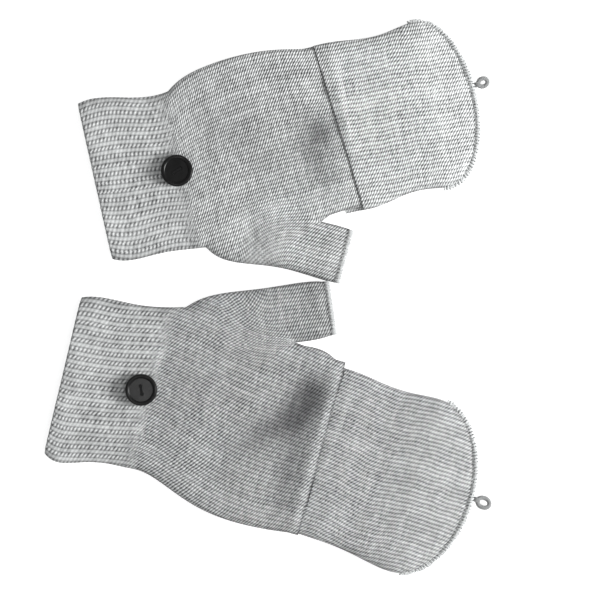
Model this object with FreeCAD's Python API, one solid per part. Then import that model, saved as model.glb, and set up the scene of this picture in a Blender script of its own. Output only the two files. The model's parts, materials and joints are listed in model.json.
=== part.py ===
import FreeCAD, Part

import math
import os

# A pair of knitted flip-top mittens lying back up, in millimetres.  Each mitten is built in its
# own hand frame and then laid in the pair: u runs along the hand towards the fingertips, v runs
# across it towards the little finger, z is up, and the origin is the middle of the knuckle seam.

FABRIC = 1.3  # one layer of jersey
CUFF_WALL = 2.2  # ribbed fabric is thicker than jersey
GAP = 0.1  # left between pieces that touch
CROWN_POWER = 3.6  # how square the rounded section of a flattened tube is
CROWN_STEPS = 12
FAR = 300.0  # larger than the whole pair
OVERRUN = 2.0  # hollows run this far past the open ends of a tube

CUFF_MOUTH_TOP = 11.5
WAIST_TOP = 9.5  # where the cuff meets the hand
BACK_TOP = 8.8
BACK_TOP_AT = -30.0  # u of the station at BACK_TOP
KNUCKLE_TOP = 7.7
CAP_TOP = 8.8
CAP_TIP_TOP = 3.4
HINGE_Z = 9.3
PALM_LIFT = 2.0  # the palm rises this far at the knuckles, to clear the cap's palm panel
PALM_LAP = 9.0  # the cap's palm panel laps this far under the palm
PALM_RAMP = 5.0  # the palm is fully lifted this far before the panel begins

ELASTIC = 0.7  # side of one elastic yarn ring
ELASTIC_RINGS = 6
ELASTIC_PITCH = 6.0
ELASTIC_START = 4.2  # first ring, from the mouth of the cuff

THUMB_FLOOR = 0.7
THUMB_TOP = 8.0
THUMB_GAP = 0.4  # running gap between the thumb and its socket
THUMB_SWING = 20.0  # degrees the socket's lips are cut back for

SLEEVE_FLOOR = 1.8
SLEEVE_TOP = 6.6
SLEEVE_START = -10.0  # the tubes are drawn from here and trimmed at the knuckle seam
EDGE = 1.8  # length of an overlocked edge
EDGE_PROUD = 0.2  # an overlocked edge stands out of the fabric this far
EDGE_LIP = 0.3  # and into the opening this far

SEAM_HEIGHT = 1.4
SEAM_WIDTH = 1.6
SEAM_FOOT = 3.5  # the knuckle seam shows above this height
SEAM_CLEAR = 0.3  # between a seam's ridge and the fabric it stands on
CAP_START = 0.6  # from the knuckle seam to the cap's back panel
CAP_RUN = 20.0  # the cap's sides are drawn from this far behind the knuckles, then trimmed
CAP_STEPS = 9
TIP_SWEEP = 84.0  # degrees of the tip's ellipse closed by fabric; the tip seam closes the rest
LINING_SCALE = 0.98  # keeps the inner skin of the cap clear of the outer one
TIP_SEAM_Z = (1.2, 3.6)
SEAM_PROUD = 0.9  # the tip seam stands this far out of the cap's sides at its ends
HEM_INSET = 2.5
HEM_ROUND = 0.5

CORD = 0.95  # radius of the loop's cord
LOOP_HALF_WIDTH = 2.6
LOOP_REACH = 4.6
LOOP_CORNER = 1.5
ANCHOR_WALL = 0.35  # stitches round the loop's inner end
ANCHOR_WIDTH = 1.8

BUTTON_RADIUS = 7.75
BUTTON_THICKNESS = 3.0
BUTTON_FOOT = 6.15  # radius of the flat underside
BUTTON_BULGE = 7.6
BUTTON_RIM = 1.0  # width of the raised rim
BUTTON_DISH = 0.7  # depth of the hollow inside the rim
BUTTON_HOLE = 0.9
BUTTON_HOLE_OFFSET = 1.9
BUTTON_SLOT = 0.9  # depth of the groove between the two holes
BUTTON_SLOT_HALF = 0.55
BUTTON_LIFT = 1.5
THREAD = 0.7
THREAD_ROUND = 0.25
SHANK_FOOT = 0.15
SHANK_RADII = (0.9, 3.0)
CLEAR = 0.05  # between the thread and the button


class Mitten:
    """The sizes in which the two hands differ."""

    def __init__(self, name, side, place, turn, slant, button, **outline):
        self.name = name
        self.side = side  # 1 for the left hand, -1 for the right
        self.place = place  # middle of the knuckle seam in the pair
        self.turn = turn  # degrees from +X to the fingertips
        self.slant = slant  # degrees the knuckle seam leans from straight across
        self.button = button  # centre u, v, rest tilt, hole line, both in degrees
        self.cuff = outline["cuff"]  # stations (u, little-finger edge, thumb edge), from the mouth
        self.hand = outline["hand"]  # stations as above, from the cuff
        self.cap = outline["cap"]  # stations as above, to the corner where the tip begins
        self.tip = outline["tip"]  # u of the tip
        self.loop_v = outline["loop_v"]
        self.thumb = outline["thumb"]  # u and v of its tip, degrees, distance from tip to pivot
        self.thumb_widths = outline["thumb_widths"]  # stations (distance from tip, half width)
        self.fingers = outline["fingers"]  # (name, middle v, half width, length)

    def thumb_half(self, back):
        """Half width of the thumb at this distance back from its tip."""
        return rise(back, self.thumb_widths)


def rise(u, points):
    """Straight-line value at u through (u, value) points."""
    for (u_a, value_a), (u_b, value_b) in zip(points, points[1:]):
        if u <= u_b:
            return value_a + (value_b - value_a) * (u - u_a) / (u_b - u_a)
    return points[-1][1]


LEFT = Mitten(
    name="left",
    side=1,
    place=(34.6, 81.6),
    turn=12.5,
    slant=4.6,
    cuff=[
        (-119.5, 37.9, -38),
        (-117, 38.5, -39.2),
        (-97, 36, -40.4),
        (-86, 34, -41),
        (-76, 34.5, -42),
    ],
    hand=[
        (-76, 34.5, -42),
        (-66, 40, -43),
        (-52, 43, -43),
        (-38, 44, -42.5),
        (-20, 42.6, -41),
        (8, 40.7, -40.7),
    ],
    cap=[
        (18, 39.2, -39.7),
        (46, 41.5, -39),
    ],
    tip=68.9,
    loop_v=5.8,
    thumb=(-10.6, -61.2, -28.0, 15.2),
    thumb_widths=[(0, 13), (20, 13.1), (33, 13.9), (48, 16.3), (58, 16.3), (65.5, 13.2)],
    fingers=[
        ("index", -23.9, 7.8, 32),
        ("middle", -7.6, 7.8, 36),
        ("ring", 8.7, 7.8, 34),
        ("little", 25.0, 7.8, 28),
    ],
    button=(-80.3, -4.1, 8.0, 20.0),
)
RIGHT = Mitten(
    name="right",
    side=-1,
    place=(26.0, -73.5),
    turn=-15.5,
    slant=0.0,
    cuff=[
        (-129.3, 36.6, -39.9),
        (-127, 38, -40.9),
        (-115, 37.8, -43),
        (-96, 33.2, -44.8),
        (-84, 32.4, -47.8),
    ],
    hand=[
        (-84, 32.4, -47.8),
        (-72, 34.5, -46),
        (-56, 40.3, -45.5),
        (-40, 43.7, -45.5),
        (-22, 44, -46.2),
        (-11, 43, -46.4),
        (-1, 41.6, -42),
        (8, 41.2, -41),
    ],
    cap=[
        (20, 42.6, -39),
        (48, 47, -38.9),
    ],
    tip=77.9,
    loop_v=3.0,
    thumb=(-13.4, -67.2, -23.5, 19.3),
    thumb_widths=[(0, 12.4), (6, 13.7), (19, 14), (50, 14.2), (61, 13), (68, 10.5)],
    fingers=[
        ("index", -23.5, 7.8, 36),
        ("middle", -7.2, 7.8, 41),
        ("ring", 9.1, 7.8, 38),
        ("little", 25.4, 7.8, 31),
    ],
    button=(-90.5, -5.5, 6.0, 65.0),
)


def vec(u, v, z=0.0):
    return FreeCAD.Vector(u, v, z)


def crowned_section(u, high, low, floor, top, inset=0.0):
    """Wire across a flattened tube: a flat underside and a crowned back, pulled in by inset."""
    middle = (high + low) / 2.0
    half = (high - low) / 2.0 - inset
    base = floor + inset
    height = top - inset - base
    crown = [vec(u, middle + half, base)]
    for step in range(1, CROWN_STEPS):
        angle = math.pi * step / CROWN_STEPS
        across = math.copysign(abs(math.cos(angle)) ** (2.0 / CROWN_POWER), math.cos(angle))
        up = math.sin(angle) ** (2.0 / CROWN_POWER)
        crown.append(vec(u, middle + half * across, base + height * up))
    crown.append(vec(u, middle - half, base))
    curve = Part.BSplineCurve()
    curve.interpolate(crown)
    underside = Part.LineSegment(crown[-1], crown[0])
    return Part.Wire([curve.toShape(), underside.toShape()])


def crowned_tube(stations, inset=0.0, overrun=0.0):
    """Solid through stations (u, high, low, floor, top), run past both ends by overrun."""
    wires = []
    last = len(stations) - 1
    for index, (u, high, low, floor, top) in enumerate(stations):
        if index == 0:
            u = u - overrun
        if index == last:
            u = u + overrun
        wires.append(crowned_section(u, high, low, floor, top, inset))
    return Part.makeLoft(wires, True, False)


def block(low, high):
    return Part.makeBox(high[0] - low[0], high[1] - low[1], high[2] - low[2], vec(*low))


def slab(u_low, u_high, slant=0.0, z_low=-FAR, z_high=FAR):
    """Block between two planes across the hand, both turned by slant about the origin."""
    shape = block((u_low, -FAR, z_low), (u_high, FAR, z_high))
    shape.rotate(vec(0, 0), vec(0, 0, 1), slant)
    return shape


def hand_stations(mitten):
    start = mitten.hand[0][0]
    floor = [(start, 0.0), (-PALM_LAP - PALM_RAMP, PALM_LIFT), (FAR, PALM_LIFT)]
    top = [(start, WAIST_TOP), (BACK_TOP_AT, BACK_TOP), (0, KNUCKLE_TOP), (FAR, KNUCKLE_TOP)]
    return [(u, high, low, rise(u, floor), rise(u, top)) for u, high, low in mitten.hand]


def cuff_top(mitten, u):
    mouth = mitten.cuff[0][0]
    end = mitten.cuff[-1][0]
    return rise(u, [(mouth, CUFF_MOUTH_TOP), (end, WAIST_TOP)])


def cuff_stations(mitten):
    return [(u, high, low, -GAP, cuff_top(mitten, u)) for u, high, low in mitten.cuff]


def thumb_tube(mitten, inset=0.0, overrun=0.0):
    u, v, angle, _ = mitten.thumb
    widths = reversed(mitten.thumb_widths)
    stations = [(-back, half, -half, THUMB_FLOOR, THUMB_TOP) for back, half in widths]
    tube = crowned_tube(stations, inset, overrun)
    tube.rotate(vec(0, 0), vec(0, 0, 1), angle)
    tube.translate(vec(u, v))
    return tube


def thumb_root(mitten):
    """Centre of the thumb's pivot, on its middle line."""
    u, v, angle, back = mitten.thumb
    turn = math.radians(angle)
    return vec(u - back * math.cos(turn), v - back * math.sin(turn))


def beyond_root(mitten, setback):
    """Strip on the fingertip side of the thumb's root line, begun early by setback."""
    angle = mitten.thumb[2]
    reach = max(half for _, half in mitten.thumb_widths) + OVERRUN
    shape = block((-setback, -reach, -FAR), (FAR, reach, FAR))
    shape.rotate(vec(0, 0), vec(0, 0, 1), angle)
    shape.translate(thumb_root(mitten))
    return shape


def root_disc(mitten, radius):
    shape = Part.makeCylinder(radius, 2 * FAR)
    shape.translate(thumb_root(mitten) - vec(0, 0, FAR))
    return shape


def make_hand(mitten):
    stations = hand_stations(mitten)
    shape = crowned_tube(stations).fuse(thumb_tube(mitten))
    hollow = crowned_tube(stations, FABRIC, OVERRUN).fuse(thumb_tube(mitten, FABRIC))
    radius = mitten.thumb_half(mitten.thumb[3])
    lips = radius * math.sin(math.radians(THUMB_SWING))
    thumb_room = beyond_root(mitten, lips).cut(crowned_tube(stations, 0.0, OVERRUN))
    shape = shape.cut(hollow)
    shape = shape.cut(root_disc(mitten, radius + THUMB_GAP))
    shape = shape.cut(thumb_room)
    after_cuff = slab(stations[0][0] + GAP / 2, FAR)
    return shape.common(slab(-FAR, -CAP_START + GAP, mitten.slant).common(after_cuff))


def thumb_end(mitten, length):
    """Block over the last length of the thumb."""
    u, v, angle, _ = mitten.thumb
    shape = block((-length, -FAR / 2, -FAR), (FAR, FAR / 2, FAR))
    shape.rotate(vec(0, 0), vec(0, 0, 1), angle)
    shape.translate(vec(u, v))
    return shape


def make_thumb(mitten):
    """The thumb's tube, rounded at its root to turn in the hand's socket."""
    shell = thumb_tube(mitten).cut(thumb_tube(mitten, FABRIC, 1.0))
    reach = root_disc(mitten, mitten.thumb_half(mitten.thumb[3])).fuse(beyond_root(mitten, 0.0))
    return shell.common(reach).cut(thumb_end(mitten, EDGE + GAP))


def make_thumb_edge(mitten):
    rim = thumb_tube(mitten, -EDGE_PROUD).cut(thumb_tube(mitten, FABRIC + EDGE_LIP, 1.0))
    return rim.common(thumb_end(mitten, EDGE))


def elastic_rings(mitten, spare=0.0):
    """Rings of elastic yarn in the cuff's inner face, grown by spare for their channels."""
    stations = cuff_stations(mitten)
    depth = CUFF_WALL - ELASTIC - GAP
    outer = crowned_tube(stations, depth - spare, OVERRUN)
    inner = crowned_tube(stations, CUFF_WALL - GAP + 2 * spare, OVERRUN)
    band = outer.cut(inner)
    rings = []
    for index in range(ELASTIC_RINGS):
        u = stations[0][0] + ELASTIC_START + ELASTIC_PITCH * index
        rings.append(band.common(slab(u - spare, u + ELASTIC + spare)))
    return Part.makeCompound(rings)


def make_cuff(mitten):
    stations = cuff_stations(mitten)
    end = stations[-1][0]
    shape = crowned_tube(stations).cut(crowned_tube(stations, CUFF_WALL, OVERRUN))
    channels = elastic_rings(mitten, GAP)
    return shape.cut(channels).common(slab(-FAR, end - GAP / 2, z_low=0.0))


def sleeve_tube(middle, half, length, inset):
    section = crowned_section(SLEEVE_START, middle + half, middle - half, SLEEVE_FLOOR, SLEEVE_TOP, inset)
    return Part.Face(section).extrude(vec(length - SLEEVE_START, 0))


def make_sleeve(mitten, finger):
    _, middle, half, length = finger
    shape = sleeve_tube(middle, half, length - EDGE - GAP, 0.0).cut(sleeve_tube(middle, half, length, FABRIC))
    return shape.cut(slab(-FAR, GAP, mitten.slant))


def make_finger_edge(finger):
    _, middle, half, length = finger
    opening = sleeve_tube(middle, half, length + 1, FABRIC + EDGE_LIP)
    rim = sleeve_tube(middle, half, length, -GAP).cut(opening)
    return rim.common(slab(length - EDGE, length))


def make_knuckle_seam(mitten):
    """A ridge over the back of the hand along the slanted knuckle line."""
    stations = hand_stations(mitten)
    core = crowned_tube(stations, -SEAM_CLEAR, 2 * OVERRUN)
    band = crowned_tube(stations, -SEAM_HEIGHT, OVERRUN).cut(core)
    return band.common(slab(-CAP_START - SEAM_WIDTH, -CAP_START, mitten.slant, SEAM_FOOT, FAR))


def cap_tube(mitten, inset):
    """The cap as a solid: straight sides, then an elliptical tip that thins to its seam."""
    corner, high, low = mitten.cap[-1]
    middle = (high + low) / 2.0
    half = (high - low) / 2.0
    reach = mitten.tip - SEAM_WIDTH - GAP - inset - corner
    _, start_high, start_low = mitten.hand[-1]
    stations = [(u, start_high, start_low, 0.0, CAP_TOP) for u in (-CAP_RUN - inset, 0.0)]
    stations += [(u, side_high, side_low, 0.0, CAP_TOP) for u, side_high, side_low in mitten.cap[:-1]]
    for step in range(CAP_STEPS):
        angle = math.radians(TIP_SWEEP) * step / (CAP_STEPS - 1)
        across = half * math.cos(angle)
        thickness = 1.0 - (1.0 - math.cos(angle)) ** 2
        top = CAP_TIP_TOP + (CAP_TOP - CAP_TIP_TOP) * thickness
        stations.append((corner + reach * math.sin(angle), middle + across, middle - across, 0.0, top))
    return crowned_tube(stations, inset * LINING_SCALE)


def make_cap(mitten):
    """A pocket closed at the tip; its palm panel laps under the palm, its back ends at the seam."""
    shape = cap_tube(mitten, 0.0).cut(cap_tube(mitten, FABRIC))
    shape = shape.cut(slab(-FAR, CAP_START, mitten.slant, FABRIC + GAP / 2, FAR))
    return shape.cut(slab(-FAR, -PALM_LAP, mitten.slant))


def make_cap_hem(mitten):
    _, high, low = mitten.hand[-1]
    near = (-PALM_LAP - EDGE - GAP, low + HEM_INSET, 0)
    shape = block(near, (-PALM_LAP - GAP, high - HEM_INSET, FABRIC + EDGE_LIP))
    shape = shape.makeFillet(HEM_ROUND, [edge for edge in shape.Edges if edge.Length > 10 * EDGE])
    shape.rotate(vec(0, 0), vec(0, 0, 1), mitten.slant)
    return shape


def make_tip_seam(mitten):
    """A ridge round the tip, outside the cap's own fabric."""
    corner, high, low = mitten.cap[-1]
    half = (high - low) / 2.0
    reach = mitten.tip - corner
    floor, top = TIP_SEAM_Z
    sizes = [(half + SEAM_PROUD, reach), (half + SEAM_CLEAR, reach - SEAM_WIDTH)]
    prisms = []
    for across, along in sizes:
        rim = Part.Ellipse(vec(0, 0, floor), across, along).toShape()
        rim.rotate(vec(0, 0), vec(0, 0, 1), 90.0)
        rim.translate(vec(corner, (high + low) / 2.0))
        prisms.append(Part.Face(Part.Wire([rim])).extrude(vec(0, 0, top - floor)))
    return prisms[0].cut(prisms[1]).common(slab(corner, FAR))


def loop_axis(mitten):
    """Middle of the loop's inner end, where it swings in its anchor."""
    setout = CORD + ANCHOR_WALL + 2 * GAP
    return vec(mitten.tip + setout, mitten.loop_v, sum(TIP_SEAM_Z) / 2.0)


def make_loop(mitten):
    """Cord bent round a rounded rectangle; its inner side lies on the swing axis."""
    half = LOOP_HALF_WIDTH
    reach = LOOP_REACH
    diagonal = LOOP_CORNER * (1 - math.sqrt(0.5))
    corners = [(0, -half, 1, 1), (reach, -half, -1, 1), (reach, half, -1, -1), (0, half, 1, -1)]
    arcs = []
    for u, v, du, dv in corners:
        along = vec(u + du * LOOP_CORNER, v)
        across = vec(u, v + dv * LOOP_CORNER)
        middle = vec(u + du * diagonal, v + dv * diagonal)
        arcs.append((across, middle, along) if du * dv > 0 else (along, middle, across))
    path = []
    for arc, following in zip(arcs, arcs[1:] + arcs[:1]):
        path.append(Part.Arc(*arc).toShape())
        path.append(Part.LineSegment(arc[2], following[0]).toShape())
    ring = Part.Wire([Part.Circle(arcs[0][0], vec(0, 1, 0), CORD).toShape()])
    cord = Part.Wire(path).makePipeShell([ring], True, False)
    cord.translate(loop_axis(mitten))
    return cord


def make_loop_anchor(mitten):
    """A sleeve of stitches between the tip seam and the loop's inner end."""
    axis = loop_axis(mitten)
    bore = CORD + GAP
    outer = bore + ANCHOR_WALL
    low = axis - vec(outer, ANCHOR_WIDTH / 2, outer)
    bar = Part.makeBox(2 * outer, ANCHOR_WIDTH, 2 * outer, low)
    return bar.cut(Part.makeCylinder(bore, 2 * ANCHOR_WIDTH, axis - vec(0, ANCHOR_WIDTH, 0), vec(0, 1, 0)))


def lay_on_cuff(mitten, shape):
    """Lay a button piece, built upright on the origin, on the cuff at its rest tilt."""
    u, v, tilt, line = mitten.button
    shape.rotate(vec(0, 0), vec(0, 0, 1), line)
    shape.rotate(vec(0, 0), vec(0, 1, 0), tilt)
    shape.translate(vec(u, v, cuff_top(mitten, u) + GAP))
    return shape


def button_blank():
    """The button turned on a lathe: flat underside, rounded edge, raised rim and dished face."""
    thick = BUTTON_THICKNESS
    face = thick - BUTTON_DISH
    profile = [
        vec(BUTTON_FOOT, 0, 0),
        vec(BUTTON_BULGE, 0, thick * 0.45),
        vec(BUTTON_RADIUS - BUTTON_RIM * 0.8, 0, thick),
        vec(BUTTON_RADIUS - BUTTON_RIM * 2.2, 0, thick - BUTTON_DISH * 0.6),
        vec(BUTTON_RADIUS * 0.4, 0, face),
    ]
    outline = Part.BSplineCurve()
    outline.interpolate(profile, InitialTangent=vec(1, 0, 0.5), FinalTangent=vec(-1, 0, 0))
    edges = [
        Part.LineSegment(vec(0, 0, 0), profile[0]).toShape(),
        outline.toShape(),
        Part.LineSegment(profile[-1], vec(0, 0, face)).toShape(),
        Part.LineSegment(vec(0, 0, face), vec(0, 0, 0)).toShape(),
    ]
    return Part.Face(Part.Wire(edges)).revolve(vec(0, 0), vec(0, 0, 1), 360)


def make_button(mitten):
    disc = button_blank()
    reach = BUTTON_HOLE_OFFSET
    for offset in (-reach, reach):
        disc = disc.cut(Part.makeCylinder(BUTTON_HOLE, 2 * BUTTON_THICKNESS, vec(offset, 0, -BUTTON_HOLE)))
    groove = BUTTON_THICKNESS - BUTTON_DISH - BUTTON_SLOT
    half = BUTTON_SLOT_HALF
    disc = disc.cut(block((-reach, -half, groove), (reach, half, BUTTON_THICKNESS)))
    disc.translate(vec(0, 0, BUTTON_LIFT))
    return lay_on_cuff(mitten, disc)


def make_button_thread(mitten):
    """A shank under the button, a leg through each hole and a bar across the top."""
    near, wide = SHANK_RADII
    shape = Part.makeCone(near, wide, BUTTON_LIFT - SHANK_FOOT - CLEAR, vec(0, 0, SHANK_FOOT))
    foot = BUTTON_LIFT - 6 * CLEAR
    top = BUTTON_LIFT + BUTTON_THICKNESS - BUTTON_DISH - BUTTON_SLOT + CLEAR
    reach = BUTTON_HOLE_OFFSET
    for offset in (-reach, reach):
        shape = shape.fuse(Part.makeCylinder(THREAD, top + THREAD - foot, vec(offset, 0, foot)))
    half = BUTTON_SLOT_HALF - CLEAR
    bar = block((-reach, -half, top), (reach, half, top + THREAD))
    bar = bar.makeFillet(THREAD_ROUND, [edge for edge in bar.Edges if edge.Length > 1.9 * reach])
    return lay_on_cuff(mitten, shape.fuse(bar).removeSplitter())


def make_mitten(mitten):
    """Every piece of one mitten, as (node, shape) in the hand frame."""
    pieces = [
        ("hand", make_hand(mitten)),
        ("cuff", make_cuff(mitten)),
        ("cuff_elastic", elastic_rings(mitten)),
        ("thumb", make_thumb(mitten)),
        ("thumb_edge", make_thumb_edge(mitten)),
        ("knuckle_seam", make_knuckle_seam(mitten)),
        ("cap", make_cap(mitten)),
        ("cap_hem", make_cap_hem(mitten)),
        ("cap_tip_seam", make_tip_seam(mitten)),
        ("loop", make_loop(mitten)),
        ("loop_anchor", make_loop_anchor(mitten)),
        ("button", make_button(mitten)),
        ("button_thread", make_button_thread(mitten)),
    ]
    for finger in mitten.fingers:
        pieces.append((finger[0] + "_sleeve", make_sleeve(mitten, finger)))
        pieces.append((finger[0] + "_edge", make_finger_edge(finger)))
    return pieces


def lay(mitten, shape):
    """Move a piece from its hand frame to its place in the pair."""
    if mitten.side < 0:
        shape = shape.mirror(vec(0, 0), vec(0, 1, 0))
    shape.rotate(vec(0, 0), vec(0, 0, 1), mitten.turn)
    shape.translate(vec(*mitten.place))
    return shape


def main():
    os.makedirs("parts", exist_ok=True)
    for mitten in (LEFT, RIGHT):
        for node, shape in make_mitten(mitten):
            placed = lay(mitten, shape)
            placed.exportStep(f"parts/{mitten.name}_{node}.step")


main()
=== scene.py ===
import json
import math

import bpy
import numpy as np
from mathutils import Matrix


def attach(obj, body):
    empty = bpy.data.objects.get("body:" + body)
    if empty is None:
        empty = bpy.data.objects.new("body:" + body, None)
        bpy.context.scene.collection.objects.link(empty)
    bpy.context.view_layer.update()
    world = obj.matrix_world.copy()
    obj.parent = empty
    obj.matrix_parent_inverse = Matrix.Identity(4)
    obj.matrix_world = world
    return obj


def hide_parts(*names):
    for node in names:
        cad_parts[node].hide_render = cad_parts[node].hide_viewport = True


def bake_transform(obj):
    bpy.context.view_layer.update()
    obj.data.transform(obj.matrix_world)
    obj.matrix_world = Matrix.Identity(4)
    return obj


# Knitted flip-top mittens.  Every fabric is a fine grid whose height carries the stitches, laid
# over soft tube shapes taken from the CAD solids.  Lengths are in metres.  Each mitten is worked
# in its hand frame: u towards the fingertips, v across towards the little finger, z up.

MM = 0.001
WALE = 1.95 * MM  # across one column of stitches
COURSE = 1.3 * MM  # along one row of stitches
RIB = 4.15 * MM  # one raised wale and one sunken wale
RIB_COURSE = 1.9 * MM
STEP_ACROSS = 0.27 * MM  # grid spacing of the shown fabric
STEP_ALONG = 0.25 * MM
COARSE = 2  # the side that lies on the floor is this many times coarser
STITCH_DEPTH = 0.6 * MM
RIB_DEPTH = 0.75 * MM
WALL = 1.3 * MM
EDGE_ROUNDING = 9.0 * MM
LIFT = 0.15 * MM  # keeps the fabric just off the floor

STAGE_HEIGHT = 1.0
PHOTO_WIDTH = 0.288  # what the camera takes in at the mittens
PHOTO_CENTRE = (0.0162, -0.0013)
WORLD_LIGHT = 0.4
KEY_PLACE = (1.5, -0.1, 1.05)  # low on the fingertip side
KEY_SIZE = 0.7
KEY_POWER = 42.0
GLINT_PLACE = (0.15, -0.13, 1.0)  # seen only as the soft light in the right button
GLINT_SIZE = 0.16
GLINT_POWER = 1.1


class Hand:
    """One mitten's own axes, read from its joints, and what differs between the two hands."""

    def __init__(self, name, joints, folds, cap_folds, seam_drop, mouth_lean, gain, cap_painted_light, loop_bend):
        self.name = name
        flip = joints[name + "_cap_flip"]
        swing = joints[name + "_loop_swing"]
        thumb = joints[name + "_thumb_swing"]
        self.side = 1 if name == "left" else -1
        across = -np.array(swing["axis"][:2]) * self.side
        self.v = across / np.linalg.norm(across)
        self.u = np.array([self.v[1], -self.v[0]]) * self.side
        self.origin = np.array(flip["pos_m"][:2])
        self.hinge_z = flip["pos_m"][2]
        hinge = -np.array(flip["axis"][:2]) * self.side
        self.slant = -(hinge @ self.u) / (hinge @ self.v)
        self.thumb_root = self.local(np.array(thumb["pos_m"])[None])[0]
        self.loop_root = self.local(np.array(swing["pos_m"])[None])[0]
        self.folds = folds
        self.cap_folds = cap_folds
        self.seam_drop = seam_drop
        self.mouth_lean = mouth_lean  # how far the cuff's mouth runs off square, per metre across
        # painted light: the brightness of the hand and thumb, and of the cap, set to how the light falls on each
        # piece of this mitten
        self.gain = gain
        self.cap_painted_light = cap_painted_light
        self.loop_bend = loop_bend  # lean in degrees, length, width

    def local(self, points):
        flat = points[:, :2] - self.origin
        return np.column_stack([flat @ self.u, flat @ self.v, points[:, 2]])

    def row(self, u, v, z):
        u, v, z = np.broadcast_arrays(u, v, z)
        plan = self.origin + u[..., None] * self.u + v[..., None] * self.v
        return np.concatenate([plan, z[..., None]], axis=-1)

    def seam_u(self, v):
        """Where the knuckle seam runs at v."""
        return -self.slant * v


def smooth(x):
    x = np.clip(x, 0.0, 1.0)
    return x * x * (3.0 - 2.0 * x)


def bump(u, v, fold):
    """A soft hill or hollow: centre u, v, reach along and across its own lean, and height."""
    centre_u, centre_v, reach_u, reach_v, lean, height = fold
    turn = math.radians(lean)
    du = (u - centre_u) * math.cos(turn) + (v - centre_v) * math.sin(turn)
    dv = (v - centre_v) * math.cos(turn) - (u - centre_u) * math.sin(turn)
    return height * np.exp(-((du / reach_u) ** 2) - (dv / reach_v) ** 2)


def ripple(u, v, seed, size=0.022, height=0.35 * MM):
    """Gentle seeded unevenness of hand-laid cloth."""
    rng = np.random.default_rng(seed)
    total = np.zeros(np.broadcast(u, v).shape)
    for _ in range(9):
        turn = rng.uniform(0, math.pi)
        length = size * rng.uniform(0.6, 1.8)
        phase = rng.uniform(0, 2 * math.pi)
        total += np.sin((u * math.cos(turn) + v * math.sin(turn)) * 2 * math.pi / length + phase)
    return total * height / 3.0


# ---- stitches ----

DARKEST = 0.04  # painted shade between the stitches
DASH = 0.7  # how dark the painted shade in the gap between two stitches of one wale is
CAP_DASH = 0.5  # less on the caps, which are stretched across
SIDE_SHADE = 0.4  # how much darker the fabric is where it turns under along its sides
CUFF_GAIN = 0.77
MOUTH_PIVOT = 20.0 * MM  # a cuff mouth that runs off square turns about this far towards the thumb
MOUTH_REACH = 25.0 * MM


def crest(phase, power=0.8):
    return (0.5 + 0.5 * np.cos(2 * math.pi * phase)) ** power


def furrow(a, width):
    """1 in the groove at whole numbers of a, falling to 0 within width."""
    near = np.abs(a - np.round(a))
    return np.exp(-((near / width) ** 2))


def jersey(p, q):
    """Height 0 to 1 of plain knit at wale p and course q: leaning stitches with a groove between wales."""
    return crest(q - p) * (1 - 0.5 * furrow(p, 0.16))


def jersey_painted_shade(p, q, dash=DASH):
    """Brightness 0 to 1, painted shade of the stitches: dark grooves between wales, broken by the leaning legs of
    the stitches.
    """
    gap = 1 - smooth(1.25 * crest(q - p, 1.0) - 0.12)
    groove = furrow(p, 0.3)
    dark = groove * (0.5 + 0.5 * gap) + dash * gap * (1 - groove)
    return DARKEST + (1 - DARKEST) * (1 - dark)


def rib(p, q):
    """Height 0 to 1 of one-by-one rib: a raised wale of stitches beside a sunken one."""
    raised = np.cos(math.pi * (p - np.round(p))) ** 2
    grooves = furrow(2 * p + 0.5, 0.22)
    return (0.45 + 0.55 * raised) * (1 - 0.6 * grooves) * (0.75 + 0.25 * crest(q - p))


def rib_painted_shade(p, q):
    """Brightness 0 to 1, painted shade of the rib: dashes on the raised wale, a smoother line on the sunken one.
    """
    raised = smooth(2.2 * np.cos(math.pi * (p - np.round(p))) ** 2 - 0.6)
    dash = smooth(1.25 * crest(q - p, 1.0) - 0.12)
    smooth_line = 0.55 + 0.3 * crest(q - p)
    tone = raised * (0.22 + 0.78 * dash) + (1 - raised) * smooth_line
    return DARKEST + (1 - DARKEST) * tone * (1 - 0.55 * furrow(2 * p + 0.5, 0.2))


def uneven(p, q, seed):
    """Wales and courses pushed about a little, as no row of hand-worn knit is straight."""
    rng = np.random.default_rng(seed)
    shift_p = np.zeros(p.shape)
    shift_q = np.zeros(p.shape)
    for _ in range(8):
        a, b = rng.normal(0, 0.22, 2)
        phase_p, phase_q = rng.uniform(0, 2 * math.pi, 2)
        shift_p += np.sin(a * p + b * q + phase_p)
        shift_q += np.sin(a * p * 1.7 - b * q + phase_q)
    return p + 0.05 * shift_p, q + 0.10 * shift_q + 0.12 * scatter(np.floor(p), seed * 1.7)


def scatter(number, seed):
    """A repeatable value from -1 to 1 for every whole number."""
    return (np.abs(np.sin(number * 12.9898 + seed * 78.233)) * 43758.5453 % 1.0) * 2 - 1


def stitch_tone(p, q, seed):
    """Brightness change from stitch to stitch and from row to row, as heathered yarn has."""
    wale, course = np.floor(p), np.floor(q)
    spot = scatter(wale * 7.31 + course * 131.7, seed)
    return 0.10 * spot + 0.05 * scatter(wale, seed + 2) + 0.04 * scatter(course, seed + 3)


# ---- mesh helpers ----


def new_object(name, vertices, faces, shade=None, uv=None):
    """Mesh from numpy arrays: quads or triangles, smooth shaded, unused points dropped."""
    used, inverse = np.unique(faces.ravel(), return_inverse=True)
    faces = inverse.reshape(faces.shape)
    mesh = bpy.data.meshes.new(name)
    mesh.from_pydata(vertices[used].tolist(), [], faces.tolist())
    mesh.polygons.foreach_set("use_smooth", [True] * len(mesh.polygons))
    if shade is not None:
        layer = mesh.attributes.new("shade", "FLOAT", "POINT")
        layer.data.foreach_set("value", shade[used].astype(np.float32))
    if uv is not None:
        layer = mesh.uv_layers.new(name="OFBake")
        corners = np.zeros(len(mesh.loops), np.int32)
        mesh.loops.foreach_get("vertex_index", corners)
        layer.data.foreach_set("uv", uv[used][corners].astype(np.float32).ravel())
    obj = bpy.data.objects.new(name, mesh)
    bpy.context.scene.collection.objects.link(obj)
    return obj


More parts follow.
